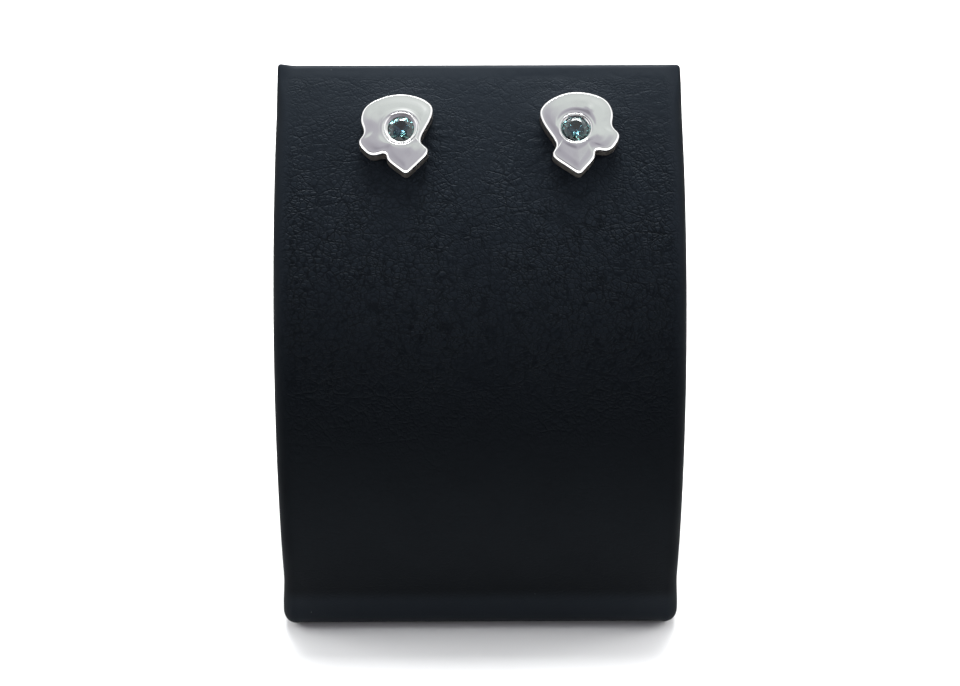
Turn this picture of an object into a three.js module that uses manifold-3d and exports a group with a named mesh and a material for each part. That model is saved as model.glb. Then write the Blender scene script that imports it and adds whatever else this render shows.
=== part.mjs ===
// A pair of stud earrings on a display stand, in millimetres, with +Z up and the front facing -Y.
// The origin lies on the surface that the stand rests on, under the middle of its box.

import * as THREE from "three";
import { mergeVertices } from "three/addons/utils/BufferGeometryUtils.js";
import Module from "manifold-3d";

// The stand: a block with a curved front, wrapped in leatherette. Angles are those that the front
// leans back from upright, so the one at the foot is below zero, where the front tucks under.
const standWidth = 50;
const frontRadius = 62;
const frontTopAngle = 58.6;
const frontFootAngle = -9.8;
const topEdgeRadius = 0.9;
const footEdgeRadius = 3;
const backEdgeRadius = 2;
const sideEdgeRadius = 1.5;

// Where the studs sit on it: how far their stones lie below the top edge, along the curve, how far
// each lies from the middle, and how far both are turned.
const studDrop = 9.65;
const leftStudAcross = -9.5;
const rightStudAcross = 11.6;
const studTurn = 5;
const studToStand = 0.3;

// One stud: a thick silver plate with a freeform outline, rounded at its edge and swelling a little
// towards its stone, with a post soldered to its back.
const studWidth = 9.2;
const studHeight = 10.6;
const plateThickness = 1.9;
const plateEdgeRadius = 0.3;
const plateBackRound = 0.15;
const faceSwell = 0.15;
const shoulder = { size: 0.78, swell: 0.6 }; // where the swell starts to level off, as shares
const crest = { size: 0.5, swell: 1 };
const postDiameter = 0.8;
const postLength = 10;
const postRise = 2.6; // from the stone's axis up to the post's
const postTipRound = 0.25;
const postHoleClearance = 0.3;
const solderDepth = 0.5; // how deep the post is let into the plate

// The setting: a low collar round a bright cone that the stone sits deep in.
const seatMouthDiameter = 4;
const collarRise = 0.12;
const collarWall = 0.3;
const collarLip = 0.1; // the level part of its top
const stoneSink = 0.3; // from the collar's lip down to the girdle
const drillDiameter = 1.1;

// The stone: a round brilliant.
const stoneDiameter = 3.1;
const tableDiameter = 1.75;
const girdleHeight = 0.08;
const crownAngle = 34.5;
const starAngle = 21;
const upperHalfAngle = 41;
const pavilionAngle = 41;
const lowerHalfAngle = 42.4;
const stoneTurn = 11;
const stoneClearance = 0.12;
const mainFacets = 8; // in the crown, and as many in the pavilion

const arcStep = 3; // degrees between the points of the stand's front
const cornerSteps = 6;
const outlinePointCount = 128;
const edgeSteps = 4;
const roundSides = 48;

// The stud's outline, clockwise from its upper left, by the corners of the polygon that it is drawn
// in. A corner's place is a share of the stud's width and height, from the stone's axis, and soft is
// the share of each side at it that its curve takes.
const outlineCorners = [
  { name: "leftSide", across: -0.533, up: 0.184, soft: 0.5 },
  { name: "topLeft", across: -0.418, up: 0.373, soft: 0.5 },
  { name: "top", across: -0.022, up: 0.476, soft: 0.5 },
  { name: "topRight", across: 0.332, up: 0.382, soft: 0.5 },
  { name: "rightSide", across: 0.484, up: 0.208, soft: 0.45 },
  { name: "waist", across: 0.212, up: -0.137, soft: 0.3 },
  { name: "lowerRight", across: 0.364, up: -0.302, soft: 0.3 },
  { name: "tip", across: 0.016, up: -0.561, soft: 0.16 },
  { name: "lowerLeft", across: -0.212, up: -0.373, soft: 0.35 },
  { name: "bottomNotch", across: -0.223, up: -0.269, soft: 0.35 },
  { name: "lobeFoot", across: -0.429, up: -0.311, soft: 0.45 },
  { name: "lobe", across: -0.592, up: -0.123, soft: 0.42 },
  { name: "sideNotch", across: -0.473, up: 0, soft: 0.4 },
];

const wasm = await Module();
wasm.setup();

const radians = THREE.MathUtils.degToRad;

// Closed geometry, as a solid that can be cut and joined.
function solidFrom(geometry) {
  geometry.deleteAttribute("normal");
  geometry.deleteAttribute("uv");
  const merged = mergeVertices(geometry, 1e-4);
  return new wasm.Manifold(
    new wasm.Mesh({
      numProp: 3,
      vertProperties: merged.attributes.position.array,
      triVerts: new Uint32Array(merged.index.array),
    }),
  );
}

// A solid, as geometry.
function geometryFrom(solid) {
  const made = solid.getMesh();
  const geometry = new THREE.BufferGeometry();
  geometry.setAttribute("position", new THREE.BufferAttribute(made.vertProperties, 3));
  geometry.setIndex(new THREE.BufferAttribute(made.triVerts, 1));
  geometry.computeVertexNormals();
  return geometry;
}

// The skin over a row of rings with as many points each, closed at both ends by a fan round a middle
// point. Each ring runs anticlockwise, seen from the end that the row runs to.
function skinOver(rings, firstMiddle, lastMiddle) {
  const count = rings[0].length;
  const points = [...rings.flat(), firstMiddle, lastMiddle];
  const faces = [];
  const lastRing = (rings.length - 1) * count;
  for (let i = 0; i < count; i++) {
    const next = (i + 1) % count;
    for (let start = 0; start < lastRing; start += count) {
      faces.push(start + i, start + next, start + count + next);
      faces.push(start + i, start + count + next, start + count + i);
    }
    faces.push(next, i, points.length - 2);
    faces.push(lastRing + i, lastRing + next, points.length - 1);
  }
  const geometry = new THREE.BufferGeometry().setFromPoints(points);
  geometry.setIndex(faces);
  return geometry;
}

// A profile of [radius, height] pairs from the axis back to the axis, turned round Z. It runs
// upwards along the outside.
function turned(profile, sides) {
  const points = profile.map(([radius, height]) => new THREE.Vector2(radius, height));
  return new THREE.LatheGeometry(points, sides).rotateX(Math.PI / 2);
}

// The stand's side view, from its front's centre of curvature: y runs to the back and z up.
const topAngle = radians(frontTopAngle);
const footAngle = radians(frontFootAngle);
const baseBelowCentre = (frontRadius - footEdgeRadius) * Math.sin(footAngle) - footEdgeRadius;
const backFromCentre = topEdgeRadius - (frontRadius - topEdgeRadius) * Math.cos(topAngle);
const standDepth = frontRadius + backFromCentre;
const curveCentre = new THREE.Vector3(0, frontRadius - standDepth / 2, -baseBelowCentre);

// The stand's outline in side view, drawn in all round by inset, at one place across it. Each of its
// three corners is an arc whose centre lies as far from both of the edges that it joins.
function standSection(across, inset) {
  const sharp = 0.02; // least radius of a corner
  const radius = frontRadius - inset;
  const corner = (edgeRadius) => Math.max(edgeRadius - inset, sharp);
  const base = baseBelowCentre + inset;
  const back = backFromCentre - inset;

  const topRound = corner(topEdgeRadius);
  const topY = back - topRound;
  const topZ = Math.sqrt((radius - topRound) ** 2 - topY ** 2);
  const topStart = Math.atan2(topZ, -topY);

  const footRound = corner(footEdgeRadius);
  const footZ = base + footRound;
  const footY = -Math.sqrt((radius - footRound) ** 2 - footZ ** 2);
  const footEnd = Math.atan2(footZ, -footY);

  const backRound = corner(backEdgeRadius);
  const backY = back - backRound;
  const backZ = base + backRound;

  const section = [];
  const addArc = (y, z, arcRadius, from, to, steps) => {
    for (let step = 0; step <= steps; step++) {
      const angle = from + ((to - from) * step) / steps;
      const place = new THREE.Vector3(
        across,
        y - arcRadius * Math.cos(angle),
        z + arcRadius * Math.sin(angle),
      );
      section.push(place.add(curveCentre));
    }
  };
  const frontSteps = Math.round((frontTopAngle - frontFootAngle) / arcStep);
  addArc(footY, footZ, footRound, -Math.PI / 2, footEnd, cornerSteps);
  addArc(0, 0, radius, footEnd, topStart, frontSteps);
  addArc(topY, topZ, topRound, topStart, Math.PI, cornerSteps);
  addArc(backY, backZ, backRound, Math.PI, Math.PI * 1.5, cornerSteps);
  return section.reverse();
}

function middleOf(points) {
  const sum = points.reduce((total, point) => total.add(point), new THREE.Vector3());
  return sum.divideScalar(points.length);
}

// The whole block, lofted across from side to side, with the edges of both sides rounded.
function standBlock() {
  const half = standWidth / 2;
  const rings = [];
  for (const side of [-1, 1])
    for (let step = 0; step <= cornerSteps; step++) {
      const share = side < 0 ? 1 - step / cornerSteps : step / cornerSteps;
      const angle = (share * Math.PI) / 2;
      const across = side * (half - sideEdgeRadius * (1 - Math.sin(angle)));
      rings.push(standSection(across, sideEdgeRadius * (1 - Math.cos(angle))));
    }
  return skinOver(rings, middleOf(rings[0]), middleOf(rings.at(-1)));
}

// The stud's outline as evenly spaced points, anticlockwise from above, about the stone's axis.
function studOutline() {
  const corners = outlineCorners.map(
    ({ across, up }) => new THREE.Vector2(across * studWidth, up * studHeight),
  );
  const path = new THREE.Path();
  outlineCorners.forEach(({ soft }, i) => {
    const corner = corners[i];
    const before = corner.clone().lerp(corners.at(i - 1), soft);
    const after = corner.clone().lerp(corners[(i + 1) % corners.length], soft);
    if (i === 0) path.moveTo(before.x, before.y);
    else path.lineTo(before.x, before.y);
    path.quadraticCurveTo(corner.x, corner.y, after.x, after.y);
  });
  path.closePath();
  return path.getSpacedPoints(outlinePointCount).slice(1).reverse();
}

// The outline drawn in square to itself by inset, at a height.
function outlineRing(outline, inset, height) {
  return outline.map((point, i) => {
    const along = outline[(i + 1) % outline.length].clone().sub(outline.at(i - 1)).normalize();
    return new THREE.Vector3(point.x - along.y * inset, point.y + along.x * inset, height);
  });
}

// The outline drawn towards the stone's axis to a share of its size, at a height.
function shrunkRing(outline, share, height) {
  return outline.map((point) => new THREE.Vector3(point.x * share, point.y * share, height));
}

const lipHeight = plateThickness + faceSwell + collarRise;
const girdlePlane = lipHeight - stoneSink;
const stoneRadius = stoneDiameter / 2;

// The plate with its collar, before the stone's seat is cut: its back lies at height 0.
function plateBlank() {
  const outline = studOutline();
  const rings = [
    outlineRing(outline, plateBackRound, 0),
    outlineRing(outline, 0, plateBackRound),
  ];
  for (let step = 0; step <= edgeSteps; step++) {
    const angle = (step / edgeSteps) * (Math.PI / 2);
    const inset = plateEdgeRadius * (1 - Math.cos(angle));
    const height = plateThickness - plateEdgeRadius * (1 - Math.sin(angle));
    rings.push(outlineRing(outline, inset, height));
  }
  for (const { size, swell } of [shoulder, crest])
    rings.push(shrunkRing(outline, size, plateThickness + faceSwell * swell));
  const plate = skinOver(
    rings,
    new THREE.Vector3(0, 0, 0),
    new THREE.Vector3(0, 0, plateThickness + faceSwell),
  );
  const mouthRadius = seatMouthDiameter / 2;
  const collarFoot = plateThickness / 2;
  const collar = turned(
    [
      [0, collarFoot],
      [mouthRadius + collarWall, collarFoot],
      [mouthRadius + collarWall, plateThickness + faceSwell / 2],
      [mouthRadius + collarLip, lipHeight],
      [0, lipHeight],
    ],
    roundSides,
  );
  return solidFrom(plate).add(solidFrom(collar));
}

// What is cut away for the stone: the bright cone, the bearing that its lower half lies in, and the
// hole drilled through under its point.
function seatCutter() {
  const beyond = 1; // how far it runs past both faces
  const wallFoot = stoneRadius + stoneClearance;
  const bearing = girdlePlane - girdleHeight / 2 - stoneClearance;
  const drillRadius = drillDiameter / 2;
  const drillTop = bearing - (wallFoot - drillRadius) * Math.tan(radians(pavilionAngle));
  return turned(
    [
      [0, -beyond],
      [drillRadius, -beyond],
      [drillRadius, drillTop],
      [wallFoot, bearing],
      [wallFoot, girdlePlane],
      [seatMouthDiameter / 2, lipHeight],
      [seatMouthDiameter / 2, lipHeight + beyond],
      [0, lipHeight + beyond],
    ],
    roundSides,
  );
}

// The post's rod, from a height down to its tip, widened all round by allowance.
function postRod(top, allowance) {
  const radius = postDiameter / 2 + allowance;
  const end = -postLength - allowance;
  const rod = turned(
    [
      [0, end],
      [radius - postTipRound, end],
      [radius, end + postTipRound],
      [radius, top],
      [0, top],
    ],
    roundSides / 2,
  );
  return rod.translate(0, postRise, 0);
}

function studGeometry() {
  const solid = plateBlank()
    .subtract(solidFrom(seatCutter()))
    .add(solidFrom(postRod(solderDepth, 0)));
  return geometryFrom(solid);
}

// A round brilliant with its girdle's middle at height 0: a short rod that is ground to one facet
// after another. A facet leans by its angle from level, and goes through the point that is given.
function brilliantGeometry() {
  const halfGirdle = girdleHeight / 2;
  const tableRadius = tableDiameter / 2;
  const crownHeight = (stoneRadius - tableRadius) * Math.tan(radians(crownAngle));
  const tableHeight = halfGirdle + crownHeight;
  const blank = new THREE.CylinderGeometry(
    stoneRadius,
    stoneRadius,
    4 * stoneRadius,
    2 * roundSides,
  ).rotateX(Math.PI / 2);
  let stone = solidFrom(blank).trimByPlane([0, 0, -1], -tableHeight);

  const mainStep = 360 / mainFacets;
  const grind = (count, turn, angle, radius, height) => {
    const up = Math.sign(height);
    const out = Math.sin(radians(angle));
    const level = Math.cos(radians(angle));
    for (let i = 0; i < count; i++) {
      const round = radians(turn) + (i * 2 * Math.PI) / count;
      const facing = [-out * Math.cos(round), -out * Math.sin(round), -up * level];
      stone = stone.trimByPlane(facing, -(out * radius + level * Math.abs(height)));
    }
  };
  const chord = stoneRadius * Math.cos(radians(mainStep / 4));
  const tableSide = tableRadius * Math.cos(radians(mainStep / 2));
  grind(mainFacets, 0, crownAngle, stoneRadius, halfGirdle);
  grind(mainFacets, mainStep / 2, starAngle, tableSide, tableHeight);
  grind(2 * mainFacets, mainStep / 4, upperHalfAngle, chord, halfGirdle);
  grind(mainFacets, 0, pavilionAngle, stoneRadius, -halfGirdle);
  grind(2 * mainFacets, mainStep / 4, lowerHalfAngle, chord, -halfGirdle);
  return geometryFrom(stone);
}

const leatherette = new THREE.MeshStandardMaterial({
  color: 0x23272d,
  roughness: 0.55,
  metalness: 0,
});
const silver = new THREE.MeshStandardMaterial({
  color: 0xdcdde0,
  roughness: 0.12,
  metalness: 1,
});
const tealStone = new THREE.MeshStandardMaterial({
  color: 0x1d4650,
  roughness: 0.03,
  metalness: 0,
});

// The frame of a stud whose stone lies this far across: its back just clear of the front, square to
// the curve, with its own +Y up the slope.
const slopeAngle = topAngle - studDrop / frontRadius;
function studPlace(across) {
  const outward = new THREE.Vector3(0, -Math.cos(slopeAngle), Math.sin(slopeAngle));
  const upSlope = new THREE.Vector3(0, Math.sin(slopeAngle), Math.cos(slopeAngle));
  const group = new THREE.Group();
  group.position
    .copy(curveCentre)
    .addScaledVector(outward, frontRadius + studToStand)
    .setX(across);
  group.quaternion.setFromRotationMatrix(
    new THREE.Matrix4().makeBasis(new THREE.Vector3(1, 0, 0), upSlope, outward),
  );
  group.rotateZ(radians(studTurn));
  return group;
}

const earringStand = new THREE.Group();
const studMetal = studGeometry();
const stoneCut = brilliantGeometry();
let standSolid = solidFrom(standBlock());

for (const { side, across, mirror } of [
  { side: "left", across: leftStudAcross, mirror: 1 },
  { side: "right", across: rightStudAcross, mirror: -1 },
]) {
  const place = studPlace(across);
  earringStand.add(place);

  const stud = new THREE.Mesh(studMetal, silver);
  stud.name = side + "_stud";
  stud.scale.x = mirror;
  place.add(stud);

  const stone = new THREE.Mesh(stoneCut, tealStone);
  stone.name = side + "_stone";
  stone.position.z = girdlePlane;
  stone.rotation.z = radians(stoneTurn * mirror);
  place.add(stone);

  place.updateMatrixWorld(true);
  const hole = postRod(plateThickness, postHoleClearance).applyMatrix4(place.matrixWorld);
  standSolid = standSolid.subtract(solidFrom(hole));
}

const stand = new THREE.Mesh(geometryFrom(standSolid), leatherette);
stand.name = "stand";
earringStand.add(stand);

export default earringStand;
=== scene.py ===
import math

import bpy
import numpy as np
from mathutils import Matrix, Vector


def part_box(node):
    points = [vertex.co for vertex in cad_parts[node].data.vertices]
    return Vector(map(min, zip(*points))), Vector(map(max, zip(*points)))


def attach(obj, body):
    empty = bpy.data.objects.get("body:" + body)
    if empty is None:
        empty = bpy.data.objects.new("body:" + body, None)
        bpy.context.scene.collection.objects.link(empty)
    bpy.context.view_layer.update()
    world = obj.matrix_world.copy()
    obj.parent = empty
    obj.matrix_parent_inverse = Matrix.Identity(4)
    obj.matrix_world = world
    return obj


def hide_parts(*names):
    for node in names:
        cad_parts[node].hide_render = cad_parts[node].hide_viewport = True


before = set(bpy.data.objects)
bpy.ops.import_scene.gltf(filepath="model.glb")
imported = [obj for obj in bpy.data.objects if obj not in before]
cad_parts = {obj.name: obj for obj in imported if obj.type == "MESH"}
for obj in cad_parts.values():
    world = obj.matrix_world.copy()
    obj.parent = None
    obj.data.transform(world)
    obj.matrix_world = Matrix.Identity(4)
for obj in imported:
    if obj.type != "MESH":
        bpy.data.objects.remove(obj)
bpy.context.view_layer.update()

# A pair of silver stud earrings on a leatherette display stand.
# Sizes in the dictionaries are millimetres and degrees; meshes are made in metres.
mm = 0.001
print("frame loaded:", ", ".join(sorted(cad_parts)))


def smoothStep(low, high, value):
    # 0 below low, 1 above high, and 3t^2 - 2t^3 between them
    t = np.clip((value - low) / (high - low), 0.0, 1.0)
    return t * t * (3.0 - 2.0 * t)


def arc(centreY, centreZ, radius, fromAngle, toAngle, count):
    # Points of a circle in side view; 0 degrees faces the front (-Y) and 90 faces up.
    angle = np.radians(np.linspace(fromAngle, toAngle, count))
    outward = np.stack([-np.cos(angle), np.sin(angle)], axis=1)
    return np.array([centreY, centreZ]) + radius * outward, outward


def ringMesh(name, rings, poles=None):
    # Skins rings[i, j]: every ring i is a closed loop over j. With two poles the first and last ring
    # close in a fan on them; without poles the last ring joins the first, as on a torus.
    rows, columns = rings.shape[:2]
    index = np.arange(rows * columns).reshape(rows, columns)
    here = index if poles is None else index[:-1]
    there = np.roll(index, -1, axis=0) if poles is None else index[1:]
    quads = np.stack([here, np.roll(here, -1, 1), np.roll(there, -1, 1), there], -1).reshape(-1, 4)
    points = rings.reshape(-1, 3)
    faces = quads.tolist()
    if poles is not None:
        points = np.vstack([points, poles])
        ends = ((index[0], len(points) - 2, 1), (index[-1], len(points) - 1, -1))
        for ring, pole, way in ends:
            fan = np.stack([np.roll(ring, -1), ring, np.full(columns, pole)], 1)
            faces += fan[:, ::way].tolist()
    a, b, c = (points[quads[:, k]] for k in (0, 1, 2))
    if np.einsum("ij,ij->i", a, np.cross(b, c)).sum() < 0:  # turned inside out
        faces = [face[::-1] for face in faces]
    mesh = bpy.data.meshes.new(name)
    mesh.from_pydata(points.tolist(), [], faces)
    mesh.update()
    piece = bpy.data.objects.new(name, mesh)
    bpy.context.collection.objects.link(piece)
    mesh.shade_smooth()
    return piece


def setPointAttribute(piece, name, kind, values):
    # One value for each vertex: FLOAT takes a flat array, FLOAT_VECTOR rows of three.
    attribute = piece.data.attributes.new(name, kind, "POINT")
    key = "vector" if kind == "FLOAT_VECTOR" else "value"
    attribute.data.foreach_set(key, np.ascontiguousarray(values, dtype=np.float32).ravel())


def cutOrJoin(piece, tool, operation):
    # Applies one boolean with the tool piece, and takes the tool away.
    modifier = piece.modifiers.new(operation.lower(), "BOOLEAN")
    modifier.operation = operation
    modifier.object = tool
    modifier.solver = "EXACT"
    graph = bpy.context.evaluated_depsgraph_get()
    cut = bpy.data.meshes.new_from_object(piece.evaluated_get(graph))
    piece.modifiers.remove(modifier)
    piece.data = cut
    bpy.data.objects.remove(tool)


# The random fields that the wrinkles are made of

latticeCells = 256           # the random numbers repeat after this many cells


def lattice(seed, cellX, cellY, channel):
    # A repeatable random number from 0 to 1 for each whole-numbered cell.
    table = np.random.default_rng(seed).random((latticeCells, latticeCells, 4))
    return table[np.mod(cellX, latticeCells), np.mod(cellY, latticeCells), channel]


def softNoise(x, y, seed):
    # Value noise from -1 to 1: random numbers on a unit lattice, blended by smooth steps.
    cellX = np.floor(x).astype(int)
    cellY = np.floor(y).astype(int)
    blendX = smoothStep(0.0, 1.0, x - cellX)
    blendY = smoothStep(0.0, 1.0, y - cellY)
    low = lattice(seed, cellX, cellY, 0) * (1 - blendX)
    low = low + lattice(seed, cellX + 1, cellY, 0) * blendX
    high = lattice(seed, cellX, cellY + 1, 0) * (1 - blendX)
    high = high + lattice(seed, cellX + 1, cellY + 1, 0) * blendX
    return 2.0 * (low * (1 - blendY) + high * blendY) - 1.0


def cellEdges(x, y, seed):
    # Distance to the second nearest of the jittered cell points, less that to the nearest:
    # 0 on the line between two cells and largest inside one.
    cellX = np.floor(x).astype(int)
    cellY = np.floor(y).astype(int)
    nearest = np.full(x.shape, 9.0)
    second = np.full(x.shape, 9.0)
    for stepX in (-1, 0, 1):
        for stepY in (-1, 0, 1):
            pointX = cellX + stepX + lattice(seed, cellX + stepX, cellY + stepY, 1)
            pointY = cellY + stepY + lattice(seed, cellX + stepX, cellY + stepY, 2)
            away = np.hypot(pointX - x, pointY - y)
            second = np.minimum(second, np.maximum(nearest, away))
            nearest = np.minimum(nearest, away)
    return second - nearest


# The stand's side view, shared by the stand, the studs and the camera

standForm = {
    "width": 50.0,
    "frontRadius": 62.0,
    "topAngle": 58.6,        # lean of the front at its top edge, from upright
    "footAngle": -9.8,       # and at its foot
    "topEdgeRadius": 0.9,
    "footEdgeRadius": 3.0,
    "backEdgeRadius": 2.0,
    "frontRoll": 1.5,        # round of the side edges along the front
    "cornerRoll": 0.45,      # where it runs into the top corners
    "footRoll": 1.6,         # and at the foot
    "backRoll": 0.8,
    "footSpread": 0.42,      # how much further out the sides stand at the foot, over the folds
    "spreadHeight": (9.0, 2.0),  # that starts and is full at these heights
    "rollChange": (2.0, 12.0),   # distance up the front over which the foot's roll becomes the front's
    "cornerReach": 7.0,      # and below the top edge, over which it becomes the corner's
    "grid": 0.27,            # spacing of the front's mesh
    "footRings": 14,
    "topRings": 12,
    "backRings": 40,
    "backFootRings": 8,
    "baseRings": 20,
    "rollRings": 11,
    "sideRings": 15,
    "sharpAngle": 50.0,
}


def standCentre(form):
    # The centre of the front's curve (y, z), with the base at z 0 and the box centred on y 0, and how
    # far behind that centre the back lies.
    radius = form["frontRadius"]
    footRadius = form["footEdgeRadius"]
    topRadius = form["topEdgeRadius"]
    centreZ = footRadius - (radius - footRadius) * math.sin(math.radians(form["footAngle"]))
    back = topRadius - (radius - topRadius) * math.cos(math.radians(form["topAngle"]))
    return (radius - back) / 2.0, centreZ, back


curveY, curveZ, backOffset = standCentre(standForm)
backY = curveY + backOffset


# Studs: where they sit and how they are shaped

studPlace = {
    "drop": 9.65,            # the stones lie this far below the top edge, along the curve
    "across": {"left": -9.5, "right": 11.6},
    "mirror": {"left": 1, "right": -1},
    "turn": 5.0,
    "gap": 0.3,              # between the stud's back and the stand
}

studForm = {
    "width": 9.2,
    "height": 10.6,
    "thickness": 2.02,
    "rimRound": (0.08, 1.10),  # least and most radius of the rim's curve, most on the bevel
    "rimBevel": (46.0, 9.0),   # lean of that bevel and its spread
    "backRound": 0.15,
    "swell": 0.05,           # how much higher the face is beside the collar
    "shoulderDrop": 0.045,   # the face steps softly down towards its rim
    "shoulderFrom": (0.40, 1.40),
    "tilt": {"left": -1.0, "right": 2.4},
    "crown": {"left": 0.010, "right": 0.0},   # bend of the face from top to tip
    "mouthRadius": {"left": 2.0, "right": 1.8},
    "collarRise": 0.02,
    "collarFlare": 0.12,     # width of the hollow sweep up to the collar
    "grooveDepth": 0.010,    # the tool mark over the collar
    "grooveWidth": 0.09,
    "lipRound": 0.07,
    "stoneSink": 0.22,
    "stoneRadius": 1.55,
    "girdle": 0.08,
    "stoneClearance": 0.06,
    "pavilionAngle": 41.0,
    "drillRadius": 0.55,
    "postRadius": 0.4,
    "postLength": 10.0,
    "postRise": 2.6,
    "postTip": 0.25,
    "solderFlare": 0.25,
    "around": 480,           # points round the outline
    "cornerPoints": 60,
    "backRings": 5,
    "rimRings": 24,
    "faceRings": 44,
    "faceCrowding": 1.25,    # crowds the face's rings towards the rim
    "sweepRings": 8,
    "lipRings": 8,
    "coneRings": 6,
    "postSides": 48,
    "sharpAngle": 38.0,
    # corner of the polygon that the outline is drawn in: shares of width and height, and softness
    "corners": [
        ("leftSide", -0.533, 0.184, 0.50),
        ("topLeft", -0.418, 0.373, 0.50),
        ("top", -0.022, 0.476, 0.50),
        ("topRight", 0.332, 0.382, 0.50),
        ("rightSide", 0.484, 0.208, 0.45),
        ("waist", 0.218, -0.165, 0.30),
        ("lowerRight", 0.364, -0.302, 0.30),
        ("tip", 0.016, -0.561, 0.16),
        ("lowerLeft", -0.212, -0.373, 0.35),
        ("bottomNotch", -0.223, -0.269, 0.35),
        ("lobeFoot", -0.429, -0.311, 0.45),
        ("lobe", -0.592, -0.123, 0.42),
        ("sideNotch", -0.473, 0.0, 0.40),
    ],
    "shift": {"left": {}, "right": {"waist": (0.04, -0.005)}},   # where the two differ
    # soft dents and swells left by polishing: (across, up, spread, rise), for each stud
    "dents": {
        "left": [(-3.4, 1.2, 0.9, 0.02), (2.9, 1.7, 0.6, 0.02), (1.0, -2.9, 0.8, 0.035),
                 (-3.0, -1.7, 0.7, 0.03)],
        "right": [(-1.95, 2.35, 0.5, 0.06), (-2.7, -1.2, 0.6, 0.03), (1.9, -2.0, 0.7, 0.03)],
    },
}

slope = math.radians(standForm["topAngle"]) - studPlace["drop"] / standForm["frontRadius"]
slopeOut = np.array([0.0, -math.cos(slope), math.sin(slope)])
slopeUp = np.array([0.0, math.sin(slope), math.cos(slope)])


def studToWorld(points, side):
    # Stud frame (x across, y up the slope, z outward, millimetres) to the object's frame in metres.
    turn = math.radians(studPlace["turn"])
    x = points[..., 0] * studPlace["mirror"][side]
    y = points[..., 1]
    across = x * math.cos(turn) - y * math.sin(turn)
    up = x * math.sin(turn) + y * math.cos(turn)
    seat = np.array([studPlace["across"][side], curveY, curveZ])
    seat = seat + slopeOut * (standForm["frontRadius"] + studPlace["gap"])
    world = seat + up[..., None] * slopeUp + points[..., 2, None] * slopeOut
    world[..., 0] += across
    return world * mm


def studOutline(side, form):
    # Evenly spaced points of the outline: at each corner a quadratic curve from and to its sides.
    corner = np.array([(a, b) for _, a, b, _ in form["corners"]])
    shift = form["shift"][side]
    corner += np.array([shift.get(name, (0.0, 0.0)) for name, _, _, _ in form["corners"]])
    corner *= (form["width"], form["height"])
    soft = np.array([row[3] for row in form["corners"]])[:, None]
    start = corner + (np.roll(corner, 1, axis=0) - corner) * soft
    end = corner + (np.roll(corner, -1, axis=0) - corner) * soft
    t = np.linspace(0.0, 1.0, form["cornerPoints"])[None, :, None]
    curve = ((1 - t) ** 2 * start[:, None] + 2 * t * (1 - t) * corner[:, None]
             + t ** 2 * end[:, None])
    path = curve.reshape(-1, 2)[::-1]  # anticlockwise
    path = np.vstack([path, path[:1]])
    length = np.concatenate([[0.0], np.cumsum(np.hypot(*np.diff(path, axis=0).T))])
    keep = np.concatenate([[True], np.diff(length) > 1e-9])
    even = np.linspace(0.0, length[-1], form["around"], endpoint=False)
    return np.stack([np.interp(even, length[keep], path[keep, k]) for k in (0, 1)], axis=1)


def smoothLoop(values, spread):
    # Averages a closed row of values over its neighbours with a bell curve, spread points wide.
    count = len(values)
    offset = np.minimum(np.arange(count), count - np.arange(count))
    bell = np.exp(-0.5 * (offset / spread) ** 2)
    wave = np.fft.rfft(bell / bell.sum())
    return np.stack([np.fft.irfft(np.fft.rfft(v) * wave, count) for v in values.T], axis=1)


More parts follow.
